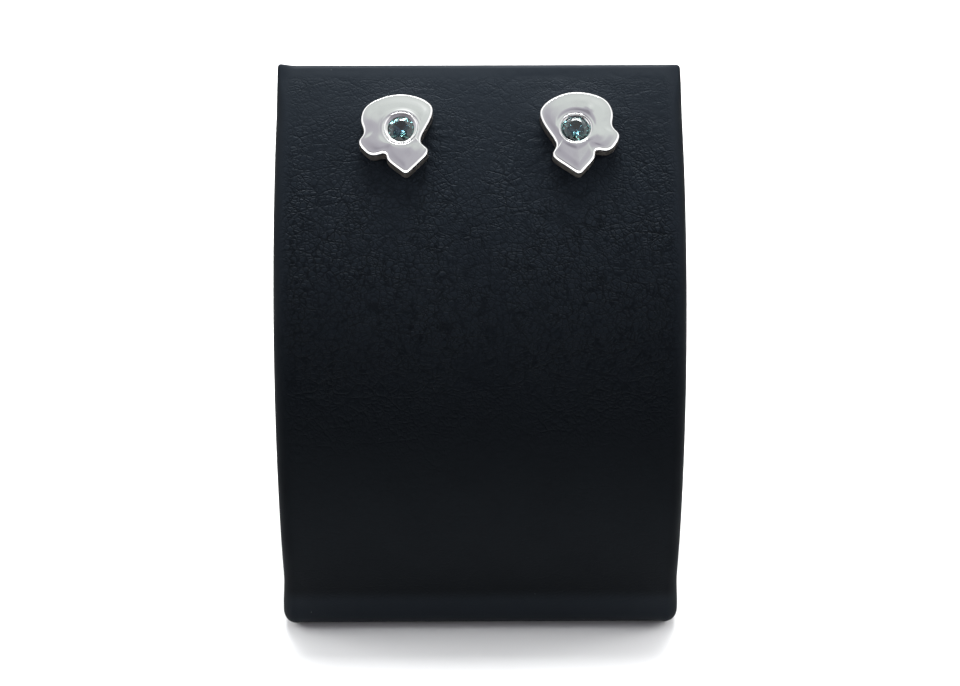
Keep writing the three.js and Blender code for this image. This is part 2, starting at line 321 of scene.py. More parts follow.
def makeStud(side, form):
    # One loop of rings: back edge, side wall, rounded rim, swelling face, collar, cone, bearing,
    # drill hole and back.
    outline = smoothLoop(studOutline(side, form), 2.0)
    along = np.roll(outline, -1, axis=0) - np.roll(outline, 1, axis=0)
    inward = np.stack([-along[:, 1], along[:, 0]], axis=1)
    inward /= np.hypot(*inward.T)[:, None]
    inward = smoothLoop(inward, 4.0)
    toward = outline / np.hypot(*outline.T)[:, None]
    rings = []
    tilt = math.tan(math.radians(form["tilt"][side]))

    def polish(flat):
        # What hand polishing adds to the face's height: a slight tilt, soft dents and swells.
        dents = sum(rise * np.exp(-((flat[:, 0] - a) ** 2 + (flat[:, 1] - b) ** 2) / spread ** 2)
                    for a, b, spread, rise in form["dents"][side])
        return dents + tilt * flat[:, 1] - 0.5 * form["crown"][side] * flat[:, 1] ** 2

    def addOutline(inset, height, polished=0.0):
        flat = outline + inward * inset
        rings.append(np.column_stack([flat, height + polished * polish(flat)]))

    def addCircle(radius, height):
        rings.append(np.column_stack([toward * radius, np.full(len(toward), height)]))

    def shoulder(reach):
        return form["shoulderDrop"] * (1.0 - smoothStep(*form["shoulderFrom"], reach))

    # Rim: the curve's radius is small at both ends and large where it leans like a bevel.
    thickness, backRound = form["thickness"], form["backRound"]
    lean = np.linspace(90.0, 4.0, form["rimRings"])
    least, most = form["rimRound"]
    bevelLean, bevelSpread = form["rimBevel"]
    radius = least + (most - least) * np.exp(-(((lean - bevelLean) / bevelSpread) ** 2))
    step = np.radians(-np.gradient(lean)) * radius
    rimInset = np.cumsum(step * np.cos(np.radians(lean)))
    rimRise = np.cumsum(step * np.sin(np.radians(lean)))
    rim = rimInset[-1]
    for angle in np.radians(np.linspace(0, 90, form["backRings"])):
        addOutline(backRound * (1 - math.sin(angle)), backRound * (1 - math.cos(angle)))
    for share in (0.25, 0.5, 0.75):
        wallHeight = thickness - rimRise[-1] - shoulder(0.0) - backRound
        addOutline(0.0, backRound + wallHeight * share, share)
    unpolished = [1.0] * len(rings)  # 1 for the rings of the side wall, 0 for polished ones
    for inset, rise in zip(rimInset, rimRise):
        addOutline(inset, thickness - (rimRise[-1] - rise) - shoulder(inset), 1.0)

    # Face: straight lines from the rim to the foot of the collar, with the height worked out of how
    # far a point lies from the rim and from the polishing's dents.
    edge = outline + inward * rim
    mouth, lipRound = form["mouthRadius"][side], form["lipRound"]
    outer = mouth + 2 * lipRound + form["collarFlare"]
    collarFoot = toward * outer
    reachAll = np.hypot(*(collarFoot - edge).T)
    for share in np.linspace(0.0, 1.0, form["faceRings"])[1:] ** form["faceCrowding"]:
        flat = edge + (collarFoot - edge) * share
        reach = rim + reachAll * share
        calm = smoothStep(1.0, 0.75, share)
        swell = form["swell"] * smoothStep(0.0, 1.0, share)
        fromRing = np.hypot(*flat.T) - outer - 3 * form["grooveWidth"]
        over = smoothStep(-0.2, 0.5, toward[:, 1])
        groove = form["grooveDepth"] * over * np.exp(-((fromRing / form["grooveWidth"]) ** 2))
        height = thickness - shoulder(reach) + swell - groove + polish(flat) * calm
        rings.append(np.column_stack([flat, height]))

    # Collar: a hollow sweep up to the lip, a small round over it, then the bright cone.
    foot = rings[-1][:, 2].mean()
    lip = thickness + form["swell"] + form["collarRise"]
    for share in np.linspace(0.0, 1.0, form["sweepRings"])[1:]:
        addCircle(outer + (mouth + 2 * lipRound - outer) * share,
                  foot + (lip - lipRound - foot) * share ** 2)
    for angle in np.radians(np.linspace(20, 150, form["lipRings"])):
        addCircle(mouth + lipRound + lipRound * math.cos(angle),
                  lip - lipRound + lipRound * math.sin(angle))
    girdlePlane = lip - form["stoneSink"]
    wallFoot = form["stoneRadius"] + form["stoneClearance"]
    bearing = girdlePlane - form["girdle"] / 2 - form["stoneClearance"]
    for share in np.linspace(0.0, 1.0, form["coneRings"])[1:]:
        addCircle(mouth + (wallFoot - mouth) * share,
                  lip - lipRound + (girdlePlane - lip + lipRound) * share)
    addCircle(wallFoot, bearing)
    drill = form["drillRadius"]
    drillTop = bearing - (wallFoot - drill) * math.tan(math.radians(form["pavilionAngle"]))
    for share in (0.33, 0.66, 1.0):
        addCircle(wallFoot + (drill - wallFoot) * share, bearing + (drillTop - bearing) * share)
    addCircle(drill, drillTop / 2)
    addCircle(drill, 0.0)
    backEdge = outline + inward * backRound
    for share in (0.2, 0.4, 0.6, 0.8):
        flat = toward * drill + (backEdge - toward * drill) * share
        rings.append(np.column_stack([flat, np.zeros(len(flat))]))

    unpolished += [0.0] * (len(rings) - len(unpolished))
    stud = ringMesh(side + "Stud", studToWorld(np.array(rings), side))
    setPointAttribute(stud, "sideWall", "FLOAT", np.repeat(unpolished, len(outline)))
    post = makePost(side, form)
    cutOrJoin(stud, post, "UNION")
    stud.data.shade_smooth()
    stud.data.set_sharp_from_angle(angle=math.radians(form["sharpAngle"]))
    return stud


def makePost(side, form, allowance=0.0, top=None):
    # A turned rod: its radius along its length, with a small flare of solder where it meets the plate.
    # With a top given it is the plain, wider rod that cuts the hole.
    radius = form["postRadius"] + allowance
    end = -form["postLength"] - allowance
    tip, flare = form["postTip"], form["solderFlare"]
    if top is None:
        profile = [(radius - tip, end), (radius - 0.3 * tip, end + 0.3 * tip), (radius, end + tip)]
        profile += [(radius, -flare), (radius + 0.3 * flare, -0.4 * flare), (radius + flare, 0.02)]
        profile += [(radius + flare, 0.3)]
    else:
        profile = [(radius, end), (radius, top)]
    sides, rise = form["postSides"], form["postRise"]
    angle = np.linspace(0.0, 2 * math.pi, sides, endpoint=False)
    rings = np.array([
        np.column_stack([r * np.cos(angle), rise + r * np.sin(angle), np.full(sides, z)])
        for r, z in profile])
    poles = np.array([[0.0, rise, profile[0][1]], [0.0, rise, profile[-1][1]]])
    return ringMesh(side + "Post", studToWorld(rings, side), studToWorld(poles, side))


wrapForm = {
    "wave": 0.05,            # slow unevenness of the wrap
    "waveLength": 11.0,
    "creaseCell": 1.7,       # mean width of the coarse wrinkles
    "creaseStretch": 1.5,    # and their length over that
    "creaseWidth": 0.28,     # as a share of the cell
    "creaseDepth": 0.022,
    "creaseFrom": (0.30, 0.52),  # they set in at this share of the way up
    "creasePatch": (7.0, 6.0),   # size of the patches with deeper wrinkles
    "wander": 1.3,           # how far the wrinkles stray from straight
    "wanderLength": 3.1,
    "slant": 0.55,           # they run down and inwards from both sides
    "slantReach": 12.0,
    "cushion": 0.12,         # how far the wrap stands up under and round a stud
    "cushionReach": (8.0, 4.5),
    "puckerDepth": 0.055,    # small folds that fan out beside a stud
    "puckerCount": 19,
    "puckerInner": (3.0, 3.8),
    "puckerOuter": (7.0, 4.2),
    # Painted light: the front's colour is painted paler where it faces up, standing in for light from
    # above; less so towards both sides as painted shade, and paler along the foot as a painted
    # reflection of the pale floor.
    "puckerTurn": 20.0,
    "paintedLightFrom": (9.0, 46.0),  # lean of the surface, from upright, over which it gets paler
    "edgeShade": 0.15,       # how much less so towards both sides
    "paintedFootReflection": 0.60,        # the same paleness in a band along the foot
    "grainFrom": (0.32, 0.54),   # the fine grain sets in at this share of the way up
    "grainBelow": 0.12,      # what is left of it under that
    "grainTop": 0.24,        # and along the top edge
    "plainGrain": 0.45,      # grain of the sides, back and base
    "ear": 0.35,             # the pointed fold at the top left corner
    "footBulk": 0.25,        # folded layers at the two foot corners
    "seeds": {"wave": 11, "wanderAcross": 21, "wanderUp": 22, "crease": 31, "patch": 41, "pucker": 51},
}


def frontHeight(x, s, wrap, frontLength):
    # Height of the wrap over the plain curve at x across and s up from the foot, in millimetres:
    # slow waves, less the wrinkles between wandering cells, plus a cushion and puckers at each stud.
    seeds = wrap["seeds"]
    height = wrap["wave"] * softNoise(x / wrap["waveLength"], s / wrap["waveLength"], seeds["wave"])
    coarse = wrap["wanderLength"]
    warpX = x + wrap["wander"] * softNoise(x / coarse, s / coarse, seeds["wanderAcross"])
    warpS = s + wrap["wander"] * softNoise(x / coarse, s / coarse, seeds["wanderUp"])
    lean = wrap["slant"] * np.tanh(-x / wrap["slantReach"])
    cell = wrap["creaseCell"]
    edge = cellEdges((warpX + lean * warpS) / (wrap["creaseStretch"] * cell),
                     (warpS - lean * warpX * 0.5) / cell, seeds["crease"])
    patchX, patchS = wrap["creasePatch"]
    patch = smoothStep(-0.35, 0.5, softNoise(x / patchX, s / patchS, seeds["patch"]))
    reach = smoothStep(*wrap["creaseFrom"], s / frontLength) * (0.35 + 0.65 * patch)
    height = height - wrap["creaseDepth"] * (1 - smoothStep(0.0, wrap["creaseWidth"], edge)) * reach
    for side, inner in (("left", 0.0), ("right", 180.0)):
        away = x - studPlace["across"][side]
        up = s - (frontLength - studPlace["drop"])
        reachOut = np.hypot(away, up)
        height = height + wrap["cushion"] * smoothStep(*wrap["cushionReach"], reachOut)
        bearing = np.degrees(np.arctan2(up, away))
        turned = bearing - inner + wrap["puckerTurn"] * np.sign(90 - inner)
        facing = np.cos(np.radians(turned))
        stray = 2.2 * softNoise(away / 1.5, up / 1.5, seeds["pucker"])
        ridge = np.cos(np.radians(bearing) * wrap["puckerCount"] + stray)
        near = smoothStep(*wrap["puckerInner"], reachOut) * smoothStep(*wrap["puckerOuter"], reachOut)
        height = height + wrap["puckerDepth"] * ridge * near * smoothStep(0.35, 0.9, facing)
    return height


def standProfile(form):
    # The closed outline in side view, from the foot up the front, over the top and down the back.
    # Gives its points, outward directions, distance s up the front, the round of the side edge, how
    # far the side stands out, and the kind of stretch: 0 foot edge, 1 front, 2 top edge, 3 back,
    # 4 back edge, 5 base.
    radius, foot, top, back = (form[k] for k in
                               ("frontRadius", "footEdgeRadius", "topEdgeRadius", "backEdgeRadius"))
    footY = curveY - (radius - foot) * math.cos(math.radians(form["footAngle"]))
    topLift = (radius - top) * math.sin(math.radians(form["topAngle"]))
    frontLength = radius * math.radians(form["topAngle"] - form["footAngle"])
    frontCount = int(frontLength / form["grid"])
    backCount, baseCount = form["backRings"], form["baseRings"]
    topZ = curveZ + topLift
    parts = [
        arc(footY, foot, foot, -90.0, form["footAngle"], form["footRings"]),
        arc(curveY, curveZ, radius, form["footAngle"], form["topAngle"], frontCount),
        arc(backY - top, topZ, top, form["topAngle"], 180.0, form["topRings"]),
        (np.column_stack([np.full(backCount, backY), np.linspace(topZ, back, backCount + 2)[1:-1]]),
         np.tile([1.0, 0.0], (backCount, 1))),
        arc(backY - back, back, back, 180.0, 270.0, form["backFootRings"]),
        (np.column_stack([np.linspace(backY - back, footY, baseCount + 2)[1:-1], np.zeros(baseCount)]),
         np.tile([0.0, -1.0], (baseCount, 1))),
    ]
    kind = np.concatenate([np.full(len(p), k) for k, (p, _) in enumerate(parts)])
    points = np.vstack([p for p, _ in parts])
    outward = np.vstack([n for _, n in parts])
    keep = np.concatenate([[True], np.hypot(*np.diff(points, axis=0).T) > 1e-6])
    kind, points, outward = kind[keep], points[keep], outward[keep]
    lean = np.degrees(np.arctan2(outward[:, 1], -outward[:, 0]))
    s = np.where(kind == 1, np.radians(lean - form["footAngle"]) * radius, 0.0)
    s = np.where(kind == 2, frontLength + np.radians(lean - form["topAngle"]) * top, s)
    s = np.where(kind == 0, np.radians(lean - form["footAngle"]) * foot, s)
    roll = np.full(len(points), form["backRoll"])
    grown = smoothStep(*form["rollChange"], s)
    alongFront = form["footRoll"] + (form["frontRoll"] - form["footRoll"]) * grown
    fromCorner = smoothStep(0.0, form["cornerReach"], frontLength - s)
    alongFront = form["cornerRoll"] + (alongFront - form["cornerRoll"]) * fromCorner
    roll = np.where(kind <= 1, alongFront, roll)
    roll = np.where(kind == 2, form["cornerRoll"], roll)
    spread = form["footSpread"] * smoothStep(*form["spreadHeight"], points[:, 1])
    return points, outward, s, roll, spread, kind, frontLength


def makeStand(form, wrap):
    # Across, the outline is moved in along its own outward direction by roll x (1 - cos a) while it
    # goes out by roll x sin a, for a from 0 to 90 degrees; the side faces shrink to a point.
    points, outward, s, roll, spread, kind, frontLength = standProfile(form)
    half = form["width"] / 2 + spread
    middle = np.array([points[:, 0].mean(), points[:, 1].mean()])
    inner = np.linspace(-1.0, 1.0, int(form["width"] / form["grid"]))
    rollAngles = np.radians(np.linspace(90.0, 0.0, form["rollRings"]))
    rings, wraps, grains, facings = [], [], [], []
    apart = 40.0             # sets the pattern of the other faces apart from the front's
    lean = np.degrees(np.arcsin(np.clip(outward[:, 1], -1.0, 1.0)))
    # Painted light: the more a point faces up, the paler its colour is painted.
    facing = smoothStep(*wrap["paintedLightFrom"], lean)
    # Painted reflection: a paler band along the foot stands in for the floor reflected there.
    floorReflection = wrap["paintedFootReflection"] * smoothStep(5.0, 2.5, s) * smoothStep(-2.5, -0.8, s) * (kind <= 1)

    def addRing(across, side, angle, shrink=1.0):
        inset = roll * (1 - math.cos(angle))
        flat = points - outward * inset[:, None]
        flat = middle + (flat - middle) * shrink
        reachX = half
        if shrink < 1.0:         # a side face stands out further near the floor, all across it
            spreadHere = form["footSpread"] * smoothStep(*form["spreadHeight"], flat[:, 1])
            reachX = form["width"] / 2 + spreadHere
        x = across * (half - roll) if side == 0 else side * (reachX - roll * (1 - math.sin(angle)))
        height = frontHeight(x, s, wrap, frontLength)
        calm = smoothStep(0.0, 2.5, half - np.abs(x)) * smoothStep(0.0, 3.0, s)
        calm = calm * smoothStep(0.0, 1.2, frontLength - s)
        height = height * calm * (kind == 1)
        ring = np.column_stack([x, flat + outward * height[:, None]])
        ring = foldCorners(ring, s, kind, frontLength, half, wrap)
        rings.append(ring)
        unfolded = np.column_stack([x, s, np.zeros(len(x))])
        isFront = (kind <= 2) & (shrink == 1.0)
        wraps.append(np.where(isFront[:, None], unfolded, ring + apart))
        edgeFade = smoothStep(0.3, 2.6, half - np.abs(x)) * smoothStep(0.8, 2.4, frontLength - s)
        below, atTop = wrap["grainBelow"], wrap["grainTop"]
        lower = below + (1 - below) * smoothStep(*wrap["grainFrom"], s / frontLength)
        weakTop = atTop + (1 - atTop) * smoothStep(3.0, 25.0, frontLength - s)
        onFront = edgeFade * lower * weakTop * smoothStep(0.0, 4.0, s)
        elsewhere = wrap["plainGrain"] if shrink < 0.93 or side == 0 else 0.0
        facePart = onFront if shrink == 1.0 else elsewhere
        grains.append(np.where(kind <= 1, facePart, elsewhere * (kind > 2)))
        # Painted shade towards both sides and on the rolled side edges, which turn away from the light;
        # the painted floor reflection keeps the foot band pale.
        shaded = facing * (1 - wrap["edgeShade"] * smoothStep(8.0, 24.0, np.abs(x)))
        shaded = np.maximum(shaded, floorReflection)
        facings.append(shaded * math.cos(angle) ** 3 if shrink == 1.0 else np.zeros(len(x)))

    for shrink in np.linspace(0.0, 1.0, form["sideRings"])[1:-1]:
        addRing(-1.0, -1, math.pi / 2, shrink)
    for angle in rollAngles:
        addRing(-1.0, -1, angle)
    for across in inner[1:-1]:
        addRing(across, 0, 0.0)
    for angle in rollAngles[::-1]:
        addRing(1.0, 1, angle)
    for shrink in np.linspace(1.0, 0.0, form["sideRings"])[1:-1]:
        addRing(1.0, 1, math.pi / 2, shrink)
    edge = form["width"] / 2
    poles = np.array([[-edge, *middle], [edge, *middle]])
    stand = ringMesh("leatheretteStand", np.array(rings) * mm, poles * mm)
    wraps = np.vstack([np.vstack(wraps), poles + apart])
    grains = np.concatenate([*grains, [wrap["plainGrain"]] * 2])
    facings = np.concatenate([*facings, [0.0, 0.0]])
    setPointAttribute(stand, "wrap", "FLOAT_VECTOR", wraps * mm)
    setPointAttribute(stand, "grain", "FLOAT", grains)
    setPointAttribute(stand, "facingUp", "FLOAT", facings)
    return stand


def foldCorners(ring, s, kind, frontLength, half, wrap):
    # Draws the top left corner out into a small pointed ear, and thickens both foot corners.
    ring = ring.copy()
    nearTop = smoothStep(2.2, 0.0, np.abs(frontLength - s)) * (kind <= 2)
    nearLeft = smoothStep(2.6, 0.0, half + ring[:, 0])
    pull = wrap["ear"] * (nearTop * nearLeft) ** 1.5
    ring[:, 1] += pull * 0.3
    ring[:, 2] += pull
    bulk = wrap["footBulk"] * smoothStep(5.5, 2.0, ring[:, 2]) * smoothStep(-0.2, 1.2, ring[:, 2])
    outer = smoothStep(half - 4.0, half - 0.5, np.abs(ring[:, 0])) * (kind <= 1)
    ring[:, 1] -= bulk * outer * 0.6
    return ring


print("making the studs")
studs = {side: makeStud(side, studForm) for side in ("left", "right")}

print("making the stand")
stand = makeStand(standForm, wrapForm)
for side in ("left", "right"):
    hole = makePost(side, studForm, allowance=0.3, top=2.0)
    cutOrJoin(stand, hole, "DIFFERENCE")
stand.data.shade_smooth()
stand.data.set_sharp_from_angle(angle=math.radians(standForm["sharpAngle"]))


# Materials

def newMaterial(name):
    material = bpy.data.materials.new(name)
    material.use_nodes = True
    material.node_tree.nodes.clear()
    return material, material.node_tree


def addNode(tree, kind, values=None, **settings):
    # Adds a node, sets its own properties, then the sockets named or numbered in values.
    node = tree.nodes.new(kind)
    for key, value in settings.items():
        setattr(node, key, value)
    for key, value in (values or {}).items():
        if isinstance(value, bpy.types.NodeSocket):
            tree.links.new(value, node.inputs[key])
        else:
            node.inputs[key].default_value = value
    return node


def finish(tree, shader):
    output = addNode(tree, "ShaderNodeOutputMaterial")
    tree.links.new(shader.outputs[0], output.inputs["Surface"])


def mathNode(tree, operation, first, second=0.0):
    return addNode(tree, "ShaderNodeMath", {0: first, 1: second}, operation=operation).outputs[0]


def product(tree, *factors):
    result = factors[0]
    for factor in factors[1:]:
        result = mathNode(tree, "MULTIPLY", result, factor)
    return result


def mapRange(tree, value, fromMin, fromMax, toMin=0.0, toMax=1.0):
    # A smooth step from one value to the other
    values = {"Value": value, "From Min": fromMin, "From Max": fromMax, "To Min": toMin, "To Max": toMax}
    return addNode(tree, "ShaderNodeMapRange", values, interpolation_type="SMOOTHSTEP").outputs["Result"]


def mixColour(tree, factor, first, second):
    # Sockets 6 and 7 are the mix node's two colours, and output 2 its mixed one.
    return addNode(tree, "ShaderNodeMix", {"Factor": factor, 6: first, 7: second},
                   data_type="RGBA").outputs[2]


def mixValue(tree, factor, first, second):
    return addNode(tree, "ShaderNodeMix", {"Factor": factor, 2: first, 3: second},
                   data_type="FLOAT").outputs[0]


def noise(tree, vector, scale, detail, roughness=0.5):
    return addNode(tree, "ShaderNodeTexNoise", {"Vector": vector, "Scale": scale, "Detail": detail,
                   "Roughness": roughness})


def bumped(tree, height):
    bump = addNode(tree, "ShaderNodeBump", {"Height": height, "Strength": 1.0, "Distance": 1.0})
    return bump.outputs[0]


def attributeNode(tree, name):
    return addNode(tree, "ShaderNodeAttribute", attribute_name=name)


def makeHandledGroup():
    # Handling: soft smudges, and a mask of sparse dust specks. All sizes are in metres.
    group = bpy.data.node_groups.new("handled", "ShaderNodeTree")
    for name, kind in (("Vector", "NodeSocketVector"), ("Smudge Size", "NodeSocketFloat"),
                       ("Speck Spacing", "NodeSocketFloat"), ("Speck Size", "NodeSocketFloat")):
        group.interface.new_socket(name, in_out="INPUT", socket_type=kind)
    for name in ("Smudge", "Specks"):
        group.interface.new_socket(name, in_out="OUTPUT", socket_type="NodeSocketFloat")
    source = addNode(group, "NodeGroupInput")
    sink = addNode(group, "NodeGroupOutput")
    smudgeScale = mathNode(group, "DIVIDE", 1.0, source.outputs["Smudge Size"])
    smudge = noise(group, source.outputs["Vector"], smudgeScale, 3.0, 0.55)
    speckScale = mathNode(group, "DIVIDE", 1.0, source.outputs["Speck Spacing"])
    cell = addNode(group, "ShaderNodeTexVoronoi", {"Vector": source.outputs["Vector"],
                   "Scale": speckScale, "Randomness": 1.0})
    size = mathNode(group, "MULTIPLY", source.outputs["Speck Size"], speckScale)
    chance = addNode(group, "ShaderNodeSeparateColor", {0: cell.outputs["Color"]}).outputs[0]
    size = mathNode(group, "MULTIPLY", size, chance)
    speck = mathNode(group, "LESS_THAN", cell.outputs["Distance"], size)
    group.links.new(smudge.outputs["Fac"], sink.inputs["Smudge"])
    group.links.new(speck, sink.inputs["Specks"])
    return group


handled = makeHandledGroup()


def useHandled(tree, vector, sizes):
    smudgeSize, speckSpacing, speckSize = sizes
    return addNode(tree, "ShaderNodeGroup", {"Vector": vector, "Smudge Size": smudgeSize,
                   "Speck Spacing": speckSpacing, "Speck Size": speckSize}, node_tree=handled)


leatherLook = {
    "colour": (0.0015, 0.0019, 0.0026, 1.0),
    # painted light: a paler colour on the parts that face up, standing in for light from above
    "paintedLightColour": (0.0112, 0.0144, 0.0190, 1.0),   # on the parts that face up
    # painted shade: the grain's creases are darkened in colour
    "crease": 0.40,          # how much of its colour a crease keeps
    "speckColour": (0.06, 0.065, 0.07, 1.0),
    "roughness": (0.36, 0.46),
    "rolledRoughness": 0.22,  # added on the rolled side edges
    "rolledFrom": (0.0228, 0.0242),  # distance from the middle, in metres
    "specular": 0.06,
    "glossTint": (0.72, 0.87, 1.0, 1.0),
    "cell": 0.00052,         # width of a grain cell, in metres
    "cellStretch": 1.15,
    "cellEdge": 0.22,        # width of the crease round it, as a share of the cell
    "largeCell": 0.0016,
    "largeStretch": 1.35,
    "largeEdge": 0.09,
    "grainHeight": 0.000072,
    "largeHeight": 0.000066,
    "fineHeight": 0.000005,
    "fineScale": 5200.0,
    "smallWarp": (0.0021, 0.0006),   # spacing and reach of the grain's wandering
    "largeWarp": (0.0032, 0.0013),
    "smallTurn": (28.0, -22.0),      # slant of the grain on the left and on the right
    "largeTurn": (33.0, -27.0),
    "middleWander": 0.016,           # how far the line between those two halves strays
    "handled": (0.006, 0.0036, 0.00008),
}


def makeLeatherette(look):
    # Fine leather grain: puffed cells between recessed lines that are darkened with painted shade, at
    # two sizes, warped and slanted towards the middle from both sides, over a colour painted paler where
    # it faces up and along the foot, as painted light from above and a painted reflection of the floor.
    material, tree = newMaterial("leatherette")
    wrap = attributeNode(tree, "wrap").outputs["Vector"]
    grain = attributeNode(tree, "grain").outputs["Fac"]

    def vectorNode(operation, values):
        return addNode(tree, "ShaderNodeVectorMath", values, operation=operation).outputs[0]

    def warped(spacing, reach):
        wander = noise(tree, wrap, 1.0 / spacing, 2.0).outputs["Color"]
        shift = vectorNode("SUBTRACT", {0: wander, 1: (0.5, 0.5, 0.5)})
        return vectorNode("ADD", {0: wrap, 1: vectorNode("SCALE", {0: shift, "Scale": reach})})

    def cells(vector, turn, size, stretch, width):
        turned = addNode(tree, "ShaderNodeMapping", {"Vector": vector,
                         "Rotation": (0.0, 0.0, math.radians(turn)), "Scale": (1.0 / stretch, 1.0, 1.0)})
        pattern = addNode(tree, "ShaderNodeTexVoronoi", {"Vector": turned.outputs[0],
                          "Scale": 1.0 / size, "Randomness": 1.0}, feature="DISTANCE_TO_EDGE")
        return mapRange(tree, pattern.outputs["Distance"], 0.0, width)

    sway = noise(tree, wrap, 130.0, 1.0).outputs["Fac"]
    shifted = product(tree, mathNode(tree, "SUBTRACT", sway, 0.5), look["middleWander"])
    sideX = addNode(tree, "ShaderNodeSeparateXYZ", {0: wrap}).outputs[0]
    rightHalf = mapRange(tree, mathNode(tree, "ADD", shifted, sideX), -0.004, 0.006)

    def bothHalves(vector, turns, form):
        left, right = (cells(vector, turn, *form) for turn in turns)
        return mixValue(tree, rightHalf, left, right)

    smallForm = (look["cell"], look["cellStretch"], look["cellEdge"])
    largeForm = (look["largeCell"], look["largeStretch"], look["largeEdge"])
    small = bothHalves(warped(*look["smallWarp"]), look["smallTurn"], smallForm)
    large = bothHalves(warped(*look["largeWarp"]), look["largeTurn"], largeForm)
    fine = noise(tree, wrap, look["fineScale"], 3.0, 0.6).outputs["Fac"]
    patches = noise(tree, wrap, 240.0, 2.0).outputs["Fac"]
    patch = mapRange(tree, patches, 0.34, 0.64, 0.65, 1.0)
    depth = product(tree, grain, patch)
    height = mathNode(tree, "ADD", product(tree, small, depth, look["grainHeight"]),
                      product(tree, large, depth, look["largeHeight"]))
    height = mathNode(tree, "ADD", height, product(tree, fine, look["fineHeight"]))

    marks = useHandled(tree, wrap, look["handled"])
    # Painted light: paler colour where the front faces up and along the foot, for light from above and
    # the floor's reflection.
    facing = attributeNode(tree, "facingUp").outputs["Fac"]
    colour = mixColour(tree, facing, look["colour"], look["paintedLightColour"])
    # Painted shade: the grain's recessed lines are darkened in colour.
    paintedCreaseShade = mathNode(tree, "SUBTRACT", 1.0, product(tree, small, large))
    paintedCreaseShade = product(tree, mathNode(tree, "POWER", paintedCreaseShade, 1.8), depth, 1.0 - look["crease"])
    colour = mixColour(tree, paintedCreaseShade, colour, (0.0, 0.0, 0.0, 1.0))
    colour = mixColour(tree, marks.outputs["Specks"], colour, look["speckColour"])
    rough = mapRange(tree, marks.outputs["Smudge"], 0.3, 0.7, *look["roughness"])
    fromMiddle = mathNode(tree, "ABSOLUTE", sideX)
    rolled = mapRange(tree, fromMiddle, *look["rolledFrom"], 0.0, look["rolledRoughness"])
    rough = mathNode(tree, "ADD", rough, rolled)
    shader = addNode(tree, "ShaderNodeBsdfPrincipled", {"Base Color": colour, "Roughness": rough,
                     "Specular IOR Level": look["specular"], "Specular Tint": look["glossTint"],
                     "Normal": bumped(tree, height)})
    finish(tree, shader)
    return material


silverLook = {
    "colour": (0.93, 0.925, 0.915, 1.0),
    "tarnish": (0.80, 0.79, 0.78, 1.0),
    "roughness": (0.035, 0.10),
    "wallColour": (0.34, 0.31, 0.28, 1.0),   # the side wall is left dull
    "wallRoughness": 0.42,
    "scratchHeight": 0.0000006,
    "scratchScale": 1500.0,
    "scratchTurn": (0.3, 0.2, 0.6),
    "scratchStretch": (1.0, 14.0, 1.0),
    "handled": (0.0022, 0.0015, 0.00002),
}


def makeSilver(look):
    # Hand-polished silver: smudges in its roughness, hairline scratches and a faint dull tone.
    material, tree = newMaterial("silver")
    place = addNode(tree, "ShaderNodeTexCoord").outputs["Object"]
    marks = useHandled(tree, place, look["handled"])
    stretched = addNode(tree, "ShaderNodeMapping", {"Vector": place, "Rotation": look["scratchTurn"],
                        "Scale": look["scratchStretch"]})
    scratch = noise(tree, stretched.outputs[0], look["scratchScale"], 4.0, 0.7).outputs["Fac"]
    height = product(tree, scratch, look["scratchHeight"])
    rough = mapRange(tree, marks.outputs["Smudge"], 0.35, 0.75, *look["roughness"])
    dull = mapRange(tree, marks.outputs["Smudge"], 0.45, 0.8, 0.0, 0.5)
    colour = mixColour(tree, dull, look["colour"], look["tarnish"])
    wall = attributeNode(tree, "sideWall").outputs["Fac"]
    colour = mixColour(tree, wall, colour, look["wallColour"])
    rough = mixValue(tree, wall, rough, look["wallRoughness"])
    shader = addNode(tree, "ShaderNodeBsdfPrincipled", {"Base Color": colour, "Metallic": 1.0,
                     "Roughness": rough, "Normal": bumped(tree, height)})
    finish(tree, shader)
    return material


stoneLook = {
    "middle": (0.016, 0.045, 0.10, 1.0),
    "edge": (0.10, 0.23, 0.21, 1.0),
    "fade": (0.0006, 0.0014),    # distance from the stone's axis, in metres
    "roughness": (0.0, 0.03),
    "index": 1.77,
    "zoneScale": 900.0,
    "zoneReach": 0.0008,
    "handled": (0.0008, 0.001, 0.00001),
}


def makeStone(name, centre, look):
    # Teal gem: clear, navy under its table and greener towards the girdle, with faint zones inside and
    # the slightest film of handling on its facets.
    material, tree = newMaterial(name)
    place = addNode(tree, "ShaderNodeTexCoord").outputs["Object"]
    away = addNode(tree, "ShaderNodeVectorMath", {0: place, 1: centre}, operation="DISTANCE")
    zones = noise(tree, place, look["zoneScale"], 1.0).outputs["Fac"]
    stray = product(tree, mathNode(tree, "SUBTRACT", zones, 0.5), look["zoneReach"])
    zoned = mathNode(tree, "ADD", stray, away.outputs["Value"])
    colour = mixColour(tree, mapRange(tree, zoned, *look["fade"]), look["middle"], look["edge"])
    marks = useHandled(tree, place, look["handled"])
    rough = mapRange(tree, marks.outputs["Smudge"], 0.5, 0.8, *look["roughness"])
    shader = addNode(tree, "ShaderNodeBsdfPrincipled", {"Base Color": colour, "Roughness": rough,
                     "IOR": look["index"], "Transmission Weight": 1.0})
    finish(tree, shader)
    return material


print("making the materials")
leatherette = makeLeatherette(leatherLook)
silver = makeSilver(silverLook)


def dress(piece, material):
    piece.data.materials.clear()
    piece.data.materials.append(material)


dress(stand, leatherette)
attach(stand, "root")
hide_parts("stand")
for side, stud in studs.items():
    dress(stud, silver)
    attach(stud, "root")
    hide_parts(side + "_stud")
    low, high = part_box(side + "_stone")
    tealStone = makeStone(side + "TealStone", tuple((low + high) / 2), stoneLook)
    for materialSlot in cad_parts[side + "_stone"].material_slots:
        materialSlot.material = tealStone


# Stage: floor, light and camera

